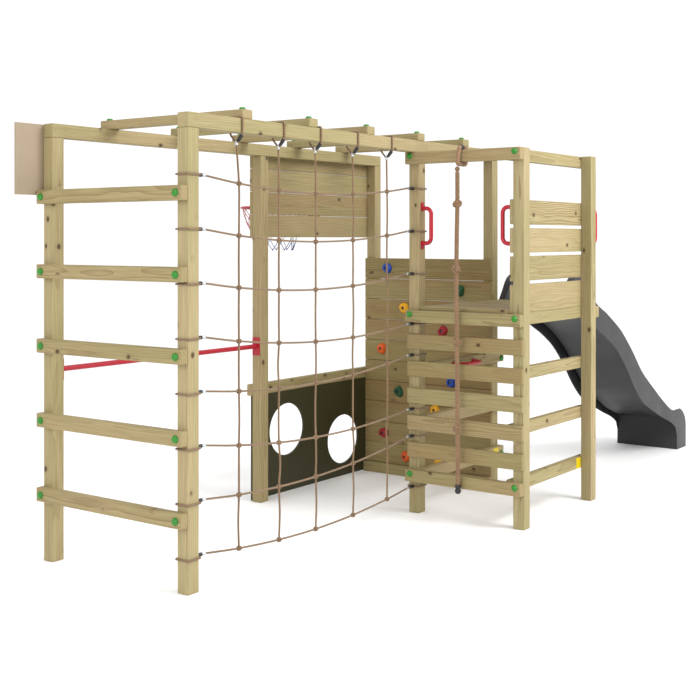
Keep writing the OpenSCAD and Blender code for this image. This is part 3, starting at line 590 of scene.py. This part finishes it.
def hold_surface(y, z, rng):
    """A rock: for turn a and share t from rim to bolt, radius R (1 + waves in a) (1 - t) and height
    h (1 - (1 - t) ** 3.2) ** 0.5 with ridges and a lean, sunk to a round seat for the bolt."""
    a = 2 * np.pi * np.arange(48) / 48
    t = np.r_[0, np.linspace(0.0, 0.93, 26)]
    phase = rng.uniform(0, 2 * np.pi, 6)
    rim = 0.035 * (1 + 0.09 * np.cos(2 * a + phase[0]) + 0.06 * np.cos(3 * a + phase[1])
                   + 0.03 * np.cos(5 * a + phase[2]))
    rim = np.minimum(rim, 0.0385)
    rho = rim[None, :] * (1 - t)[:, None]
    rise = 0.033 * np.clip(1 - (1 - t) ** 3.2, 0, 1) ** 0.5
    rise[0] = 0.0
    ridge = (0.09 * np.sin(3 * a + phase[3])[None, :] * np.sin(2.2 * np.pi * t)[:, None]
             + 0.07 * np.cos(5 * a + phase[4])[None, :] * np.sin(3.4 * np.pi * t)[:, None])
    height = rise[:, None] * (1 + ridge)
    lean = 1 + 0.16 * np.cos(a + phase[5])[None, :] * (1 - t)[:, None]
    height = height * lean
    height[1:] = np.maximum(height[1:], 0.003)
    seat = 1 / (1 + np.exp((rho - 0.0108) / 0.0009))
    height = height * (1 - seat) + 0.0142 * seat
    return np.stack([WALL_FACE - height, y + rho * np.cos(a), z + rho * np.sin(a)], -1)


class FRAME_OT_holds(bpy.types.Operator):
    """Rock-shaped climbing holds in five colours"""
    bl_idname = "climbing_frame.holds"
    bl_label = "Holds"

    def execute(self, context):
        rng = np.random.default_rng(5)
        for key, (colour, places) in HOLDS.items():
            worn = "#" + "".join("%02x" % int(int(colour[i:i + 2], 16) * 0.7 + 26) for i in (1, 3, 5))
            stuff = moulded("Polyester resin " + key, colour, 0.5, 0.0022, 0.0010, worn, 0.45)
            shape = Shape()
            for share, z in places:
                shape.grid(hold_surface(share * GYM_D, z, rng), wrap_cols=True, caps=True)
            shape.piece("rock_holds_" + key, stuff, "frame", "hold_" + key, ("holds_" + key,))
        return {"FINISHED"}


class FRAME_OT_handles(bpy.types.Operator):
    """Grab handles, rung grip, turn bar and hoop in red"""
    bl_idname = "climbing_frame.handles"
    bl_label = "Red handles and bars"

    def execute(self, context):
        red = moulded("Red polypropylene", "#b00f26", 0.32, 0.0011, 0.0002, "#7e0a18", 0.5)
        coat = moulded("Red powder coat", "#a60d24", 0.36, 0.0016, 0.0002, "#7a0918", 0.5)
        for node in ("grab_handle_net", "grab_handle_deck", "grab_handle_slide", "rung_grip"):
            dress(node, red)
        for node in ("turn_bar", "hoop_ring"):
            dress(node, coat)
        return {"FINISHED"}


# ------------------------------------------------------------------ hoop net

class FRAME_OT_hoop_net(bpy.types.Operator):
    """The hoop's net: rows of cord that zigzag between its knots"""
    bl_idname = "climbing_frame.hoop_net"
    bl_label = "Hoop net"

    def execute(self, context):
        centre = np.array([(GOAL_X + TOWER_X) / 2, HOOP_Y, 0.0])
        low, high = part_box("hoop_net")
        loops, rows = 10, 4
        heights = np.linspace(high.z + 0.006, low.z + 0.004, rows + 1)
        radii = np.array([0.216, 0.196, 0.168, 0.146, 0.127])
        colours = (("red", "#c11f33"), ("red", "#c11f33"), ("white", "#e4e2dc"), ("blue", "#2d4f9e"))
        shapes = {}
        for k in range(rows):
            shape = shapes.setdefault(colours[k], Shape())
            for i in range(loops):
                for side in (-1, 1):
                    a0 = 2 * np.pi * (i + 0.5 * (k % 2)) / loops
                    a1 = a0 + side * np.pi / loops
                    t = np.linspace(0, 1, 9)
                    a = a0 + (a1 - a0) * t
                    r = radii[k] + (radii[k + 1] - radii[k]) * t
                    z = heights[k] + (heights[k + 1] - heights[k]) * t - 0.006 * np.sin(np.pi * t)
                    line = centre + np.stack([r * np.cos(a), r * np.sin(a), z], -1)
                    tube(shape, line, 0.0024, 6, np.array([0.31, 0.17, 0.2]))
                    ball = centre + np.array([r[-1] * np.cos(a1), r[-1] * np.sin(a1), z[-1]])
                    turned(shape, ball - [0, 0, 0.005], (0, 0, 1),
                           [[.0008, 0], [.0036, .0015], [.0048, .005], [.0036, .0085], [.0008, .010]], 8)
        for (word, colour), shape in shapes.items():
            stuff = rope_fibre("Braided polyester " + word, colour, colour, 0.012)
            replaced = ("hoop_net",) if word == "white" else ()
            shape.piece("hoop_net_" + word, stuff, "frame", "net_white", replaced)
        return {"FINISHED"}


# ------------------------------------------------------------------ climbing net

NET_X = np.array([0.18, 0.336, 0.492, 0.664, 0.835]) * NET_SPAN
LEFT_Z = 1.917 - np.arange(8) * (1.917 - 0.157) / 7
SLAT_GAP = (DECK_RAIL - SLAT_RAIL - POST - 5 * SLAT_H) / 6


def slat_gap_mid(i):
    """Height of the middle of the gap under slat i."""
    return SLAT_RAIL + POST + SLAT_GAP + i * (SLAT_H + SLAT_GAP) - SLAT_GAP / 2


# The rows' heights at the tower pass the deck handle's seats and the slats
HANDLE_Z = DECK_TOP + 0.475
PAD_EDGE = 0.103 + 0.037
RIGHT_Z = np.array([max(LEFT_Z[0], HANDLE_Z + PAD_EDGE + 0.020), HANDLE_Z - 0.032,
                    min(LEFT_Z[2], HANDLE_Z - PAD_EDGE - 0.030), DECK_RAIL - 0.012, slat_gap_mid(4),
                    slat_gap_mid(2), slat_gap_mid(1), 0.159])
NET_A, NET_B = HALF + 0.063, NET_SPAN - HALF - 0.063
SAG = 0.060
LINK_Z = BEAM_LOW - 0.046

# Radius and height along the rubber sleeves and zinc ferrules, on the rows and on the loops
ROW_SLEEVE = [[.006, 0], [.0092, .001], [.0095, .004], [.0083, .006], [.0095, .008], [.0095, .014],
              [.0083, .016], [.0095, .018], [.0095, .026], [.0083, .028], [.0095, .030], [.0092, .041],
              [.006, .043]]
ROW_FERRULE = [[.0055, 0], [.007, .001], [.007, .009], [.0062, .010], [.007, .011], [.007, .023],
               [.0055, .025]]
LOOP_SLEEVE = [[.006, 0], [.0092, .001], [.0095, .003], [.0083, .005], [.0095, .007], [.0095, .013],
               [.0083, .015], [.0095, .017], [.0095, .028], [.0083, .030], [.0092, .038], [.006, .040]]
LOOP_FERRULE = [[.005, 0], [.007, .001], [.0072, .008], [.0062, .0095], [.0072, .011], [.0072, .022],
                [.005, .024]]


def level(k, x):
    """Height of row k at x: it runs from one post to the other and sags between them."""
    t = (x - NET_A) / (NET_B - NET_A)
    return LEFT_Z[k] * (1 - t) + RIGHT_Z[k] * t - SAG * 4 * t * (1 - t)


def loop_x(x):
    """Where an upright's loop goes round the beam, clear of the rungs on top of it."""
    x = x - 0.004
    near = RUNG_X[np.argmin(np.abs(RUNG_X - x))]
    clear = HALF + CORD_R + 0.002
    return x if abs(x - near) >= clear else near + (-clear if x < near else clear)


def ring_knot(shape, at, axis, radius, thick):
    """A turn of cord: a small ring of radius `radius` about `axis`."""
    axis = np.asarray(axis, float)
    ref = np.array([0, 1.0, 0])
    side = np.cross(axis, ref)
    a = 2 * np.pi * np.arange(14) / 14
    line = at + radius * (side * np.cos(a)[:, None] + ref * np.sin(a)[:, None])
    tube(shape, line, thick, 8, axis, closed=True)


class FRAME_OT_net(bpy.types.Operator):
    """Climbing net: level and upright cords, tied crossings, loops, sleeves and ferrules"""
    bl_idname = "climbing_frame.net"
    bl_label = "Climbing net"

    def execute(self, context):
        lay = context.scene.climbing_rope.cord_lay
        hemp = rope_fibre("Laid cord", "#8d6f4e", "#634a30", lay)
        black = moulded("Black rubber sleeve", "#1b1b1c", 0.5, 0.0016, 0.0004, "#2c2c2e")
        zinc = bpy.data.materials["Zinc-plated steel"]
        rng = np.random.default_rng(23)
        cords, ties, sleeves, ferrules = Shape(), Shape(), Shape(), Shape()
        up, along = np.array([0, 0, 1.0]), np.array([1.0, 0, 0])
        for k in range(8):
            xs = np.r_[NET_A - 0.002, NET_X, NET_B + 0.002]
            line = np.stack([xs, np.zeros(7), [level(k, x) for x in xs]], -1)
            tube(cords, smooth_line(line, 0.010), CORD_R, 10, up)
            for end, way, z in ((0.0, 1, LEFT_Z[k]), (NET_SPAN, -1, RIGHT_Z[k])):
                r = HALF + CORD_OFF
                ring = [(end - r, -r, z), (end + r, -r, z), (end + r, r, z), (end - r, r, z)]
                tube(cords, rounded(ring, 0.009, closed=True), CORD_R, 10, up, closed=True)
                a = end + way * (HALF + 0.008)
                turned(sleeves, (a, 0, z), (way, 0, 0), ROW_SLEEVE, 16)
                turned(ferrules, (a + way * ROW_SLEEVE[-1][1], 0, z), (way, 0, 0), ROW_FERRULE, 16)
        for i, x in enumerate(NET_X):
            loop = loop_x(x)
            zs = [level(k, x) for k in range(8)]
            points = [(loop, 0, LINK_Z - 0.006)]
            for k in range(8):
                points.append((x, 0, zs[k]))
                if k < 7:
                    sway = rng.uniform(-0.006, 0.006)
                    points.append((x + sway, rng.uniform(-0.004, 0.004), (zs[k] + zs[k + 1]) / 2))
            tube(cords, smooth_line(points, 0.010), CORD_R, 10, np.array([0, 1.0, 0]))
            for z in zs:
                at = np.array([x, 0, z])
                for offset in (-0.0062, 0.0062):
                    ring_knot(ties, at + up * offset, up, 0.0076, 0.0044)
                    ring_knot(ties, at + along * offset, along, 0.0076, 0.0044)
            r, low = HALF + CORD_OFF, BEAM_LOW - CORD_OFF
            hoop = [(loop, -0.004, LINK_Z), (loop, -r, low), (loop, -r, BEAM_TOP + CORD_OFF),
                    (loop, r, BEAM_TOP + CORD_OFF), (loop, r, low), (loop, 0.004, LINK_Z)]
            tube(cords, rounded(hoop, 0.009), CORD_R, 10, along)
            start, stop = np.array(hoop[1]), np.array(hoop[0])
            run = unit(stop - start)
            turned(sleeves, start + run * 0.006, run, LOOP_SLEEVE, 16)
            turned(ferrules, (loop, 0, LINK_Z - 0.014), up, LOOP_FERRULE, 16)
        cords.piece("net_cords_laid", hemp, "frame", "hemp_rope", ("net_cords",))
        ties.piece("net_knots_tied", hemp, "frame", "hemp_rope", ("net_knots",))
        sleeves.piece("net_sleeves", black, "frame", "black_plastic", ("net_fittings",))
        ferrules.piece("net_ferrules", zinc, "frame", "zinc_steel")
        return {"FINISHED"}


# ------------------------------------------------------------------ climbing rope

ROPE_R = 0.013
ROPE_X, ROPE_Y = TOWER_FACE - RAIL_T - 0.033, -TOWER_D / 2
HITCH_LOW = BEAM_LOW - POST - ROPE_R - 0.0003
PIVOT_Z = HITCH_LOW - 0.01326 - 0.0004 - 0.016
ROPE_TOP, ROPE_END = PIVOT_Z - 0.0163, 0.222
SWAY = 0.001 * np.array([[0, 0], [0, 0], [-1, 3], [-2, 5], [-1, 6], [-1, 3], [0, 2], [0, 0], [0, 0],
                         [0, -2], [0, -4]])
KNOTS = (1.820, 1.446, 1.036, 0.543)
BALL_R = 0.018
CLIP = [[.0135, 0], [.0155, .001], [.016, .004], [.0145, .006], [.016, .008], [.016, .016], [.0145, .018],
        [.016, .020], [.0155, .025], [.0135, .026]]
SPINDLE = [[.0030, 0], [.0085, .003], [.0115, .0155], [.0085, .028], [.0030, .031]]


class FRAME_OT_rope(bpy.types.Operator):
    """Climbing rope: its turn round the header, the rope, four overhand knots and the end cap"""
    bl_idname = "climbing_frame.rope"
    bl_label = "Climbing rope"

    def execute(self, context):
        lay = context.scene.climbing_rope.rope_lay
        hemp = rope_fibre("Laid rope", "#957352", "#664a30", lay)
        black = moulded("Black polypropylene", "#161617", 0.36, 0.0012, 0.0003, "#29292b")
        along, up = np.array([1.0, 0, 0]), np.array([0, 0, 1.0])
        z = np.linspace(ROPE_TOP, ROPE_END, 11)
        route = np.column_stack([ROPE_X + SWAY[:, 0], ROPE_Y + SWAY[:, 1], z])
        line = smooth_line(route, 0.004)
        rope = Shape()
        tube(rope, line, ROPE_R, 24, along, lay=lay, depth=0.13)
        rope = rope.piece("climbing_rope_laid", hemp, "rope", "hemp_rope", ("climbing_rope",))
        knots = Shape()
        t = 2 * np.pi * np.arange(72) / 72
        # A trefoil, drawn tight
        wind = np.stack([np.sin(t) + 2 * np.sin(2 * t), np.cos(t) - 2 * np.cos(2 * t),
                         -1.55 * np.sin(3 * t)], -1)
        for i, height in enumerate(KNOTS):
            s = int(np.argmin(np.abs(line[:, 2] - height)))
            c, d = math.cos(1.3 * i), math.sin(1.3 * i)
            spin = np.array([[c, d, 0], [-d, c, 0], [0, 0, 1]])
            tube(knots, line[s] + 0.0064 * wind @ spin, ROPE_R * 0.82, 18, up, closed=True,
                 lay=lay, depth=0.10)
        knots = knots.piece("rope_overhand_knots", hemp, "rope", "hemp_rope", ("rope_knots",))
        cap = Shape()
        low = np.array([line[-1, 0], line[-1, 1], ROPE_END - 0.052])
        a = np.radians(np.linspace(0, 180, 15))
        ball = np.stack([BALL_R * np.sin(a), -BALL_R * np.cos(a)], -1)
        ball[0, 0] = ball[-1, 0] = 0.0006
        for rise in (BALL_R, BALL_R + 0.026):
            turned(cap, low + [0, 0, rise], up, ball, 24)
        cap = cap.piece("rope_end_balls", black, "rope", "black_plastic", ("rope_end_cap",))
        # The turn round the header, and the whipping where the rope hangs from it
        top = BEAM_LOW + ROPE_R + 0.0003
        back = TOWER_FACE + ROPE_R + 0.0003
        front = TOWER_FACE - RAIL_T - ROPE_R - 0.0003
        hitch = Shape()
        ring = [(ROPE_X, ROPE_Y, HITCH_LOW), (front, ROPE_Y, top), (back, ROPE_Y, top),
                (back, ROPE_Y, HITCH_LOW)]
        bent = rounded(ring, 0.016, closed=True, steps=8)
        gaps = np.linalg.norm(np.roll(bent, -1, 0) - bent, axis=1)
        s = np.r_[0, np.cumsum(gaps)]
        even = np.linspace(0, s[-1], 120, endpoint=False)
        bent = np.stack([np.interp(even, s, np.r_[bent[:, i], bent[0, i]]) for i in range(3)], -1)
        tube(hitch, bent, ROPE_R, 24, np.array([0, 1.0, 0]), closed=True, lay=lay, depth=0.12)
        hitch.piece("rope_hitch_laid", hemp, "frame", "hemp_rope", ("rope_hitch",))
        clip = Shape()
        turned(clip, (front + 0.010, ROPE_Y, top), along, CLIP, 20)
        clip.piece("rope_clip", black, "frame", "black_plastic")
        whip = Shape()
        # Turns of twine on a ball that stays clear of the rope's end as it swings
        a = 2 * np.pi * np.arange(24) / 24
        for z in 0.0056 * np.arange(-2, 3):
            r = math.sqrt(0.0127 ** 2 - z ** 2)
            twine = np.stack([ROPE_X + r * np.cos(a), ROPE_Y + r * np.sin(a), np.full(24, PIVOT_Z + z)], -1)
            tube(whip, twine, 0.0030, 8, up, closed=True)
        turned(whip, (ROPE_X, ROPE_Y, PIVOT_Z - SPINDLE[-1][1] / 2), up, SPINDLE, 16)
        whip.piece("rope_whipping", hemp, "rope_link", "hemp_rope", ("rope_swivel",))
        return {"FINISHED"}


# ------------------------------------------------------------------ slide and boards

class FRAME_OT_slide(bpy.types.Operator):
    """The moulded slide"""
    bl_idname = "climbing_frame.slide"
    bl_label = "Slide"

    def execute(self, context):
        plastic = moulded("Anthracite polyethylene", "#232325", 0.42, 0.0035, 0.0009, "#363638", 0.4)
        dress("slide", plastic)
        return {"FINISHED"}


class FRAME_OT_boards(bpy.types.Operator):
    """Goal panel, blank sign and blank tags"""
    bl_idname = "climbing_frame.boards"
    bl_label = "Panel, sign and tags"

    def execute(self, context):
        for node, name, colour, rough, grit, depth, worn in (
                ("goal_panel", "Film-faced board", "#28260f", 0.5, 0.0022, 0.0004, "#3a371c"),
                ("sign_board", "Printed composite board", "#9a8a74", 0.45, 0.0018, 0.0002, "#8b7b66"),
                ("tag_plates", "Yellow vinyl tag", "#d2b908", 0.4, 0.0015, 0.0002, "#b9a207")):
            dress(node, moulded(name, colour, rough, grit, depth, worn, 0.4))
        return {"FINISHED"}


# ------------------------------------------------------------------ studio

class FRAME_OT_studio(bpy.types.Operator):
    """Pale floor, white surround and soft lights"""
    bl_idname = "climbing_frame.studio"
    bl_label = "Studio"

    def execute(self, context):
        settings = context.scene.climbing_studio
        floor = bpy.data.meshes.new("studio_floor")
        size = 60.0
        corners = [(-size, -size, 0), (size, -size, 0), (size, size, 0), (-size, size, 0)]
        floor.from_pydata(corners, [], [(0, 1, 2, 3)])
        mat, _, shader = new_material("Studio floor")
        shader.inputs["Base Color"].default_value = linear("#fbfbfb")
        shader.inputs["Roughness"].default_value = 0.7
        floor.materials.append(mat)
        floor = bpy.data.objects.new("studio_floor", floor)
        context.scene.collection.objects.link(floor)
        world = bpy.data.worlds.new("Studio")
        world.use_nodes = True
        back = world.node_tree.nodes["Background"]
        back.inputs[0].default_value = (1.0, 1.0, 1.0, 1.0)
        back.inputs[1].default_value = settings.sky
        context.scene.world = world
        for name, place, aim, size, power in (
                ("Key", (2.6, -5.6, 5.2), (1.6, 0.0, 0.9), 4.0, settings.key_power),
                ("Fill", (-5.5, -0.5, 3.4), (1.4, 0.2, 1.0), 3.5, settings.fill_power)):
            light = bpy.data.lights.new(name, "AREA")
            light.shape, light.size, light.energy = "DISK", size, power
            lamp = bpy.data.objects.new(name, light)
            context.scene.collection.objects.link(lamp)
            lamp.location = place
            way = np.array(aim) - np.array(place)
            lamp.rotation_mode = "XYZ"
            tilt = math.acos(-way[2] / np.linalg.norm(way))
            lamp.rotation_euler = (tilt, 0, math.atan2(way[1], way[0]) - math.pi / 2)
        context.scene.view_settings.view_transform = "Standard"
        return {"FINISHED"}


def make_camera():
    """A level camera with its view shifted, so that upright timbers stay upright."""
    lens = bpy.data.cameras.new("Camera")
    lens.sensor_width = 36.0
    lens.lens = 58.355
    lens.shift_x, lens.shift_y = -0.10, -0.1593
    lens.clip_end = 200.0
    camera = bpy.data.objects.new("Camera", lens)
    bpy.context.scene.collection.objects.link(camera)
    camera.location = (-3.7082, -3.7909, 1.6222)
    camera.rotation_euler = (math.pi / 2, 0.0, -0.9759)
    bpy.context.scene.camera = camera


class FRAME_PT_panel(bpy.types.Panel):
    """Lists the pieces in the order they are made"""
    bl_idname = "FRAME_PT_panel"
    bl_label = "Climbing frame"
    bl_space_type = "VIEW_3D"
    bl_region_type = "UI"
    bl_category = "Climbing frame"

    def draw(self, context):
        for name in GROUPS:
            group = getattr(context.scene, name)
            for key in group.bl_rna.properties.keys():
                if key not in ("rna_type", "name"):
                    self.layout.prop(group, key)
        for step in STEPS:
            self.layout.operator(step.bl_idname)


STEPS = (FRAME_OT_rope, FRAME_OT_timber, FRAME_OT_fixings, FRAME_OT_holds, FRAME_OT_handles,
         FRAME_OT_hoop_net, FRAME_OT_net, FRAME_OT_slide, FRAME_OT_boards, FRAME_OT_studio)
GROUPS = {"climbing_timber": TimberSettings, "climbing_rope": RopeSettings,
          "climbing_studio": StudioSettings}


def register():
    for kind in (*GROUPS.values(), *STEPS, FRAME_PT_panel):
        bpy.utils.register_class(kind)
    for key, group in GROUPS.items():
        setattr(bpy.types.Scene, key, bpy.props.PointerProperty(type=group))


def unregister():
    for key in GROUPS:
        delattr(bpy.types.Scene, key)
    for kind in (FRAME_PT_panel, *reversed(STEPS), *GROUPS.values()):
        bpy.utils.unregister_class(kind)


def main():
    register()
    make_camera()
    for step in STEPS:
        family, action = step.bl_idname.split(".")
        getattr(getattr(bpy.ops, family), action)()


if __name__ == "__main__":
    main()
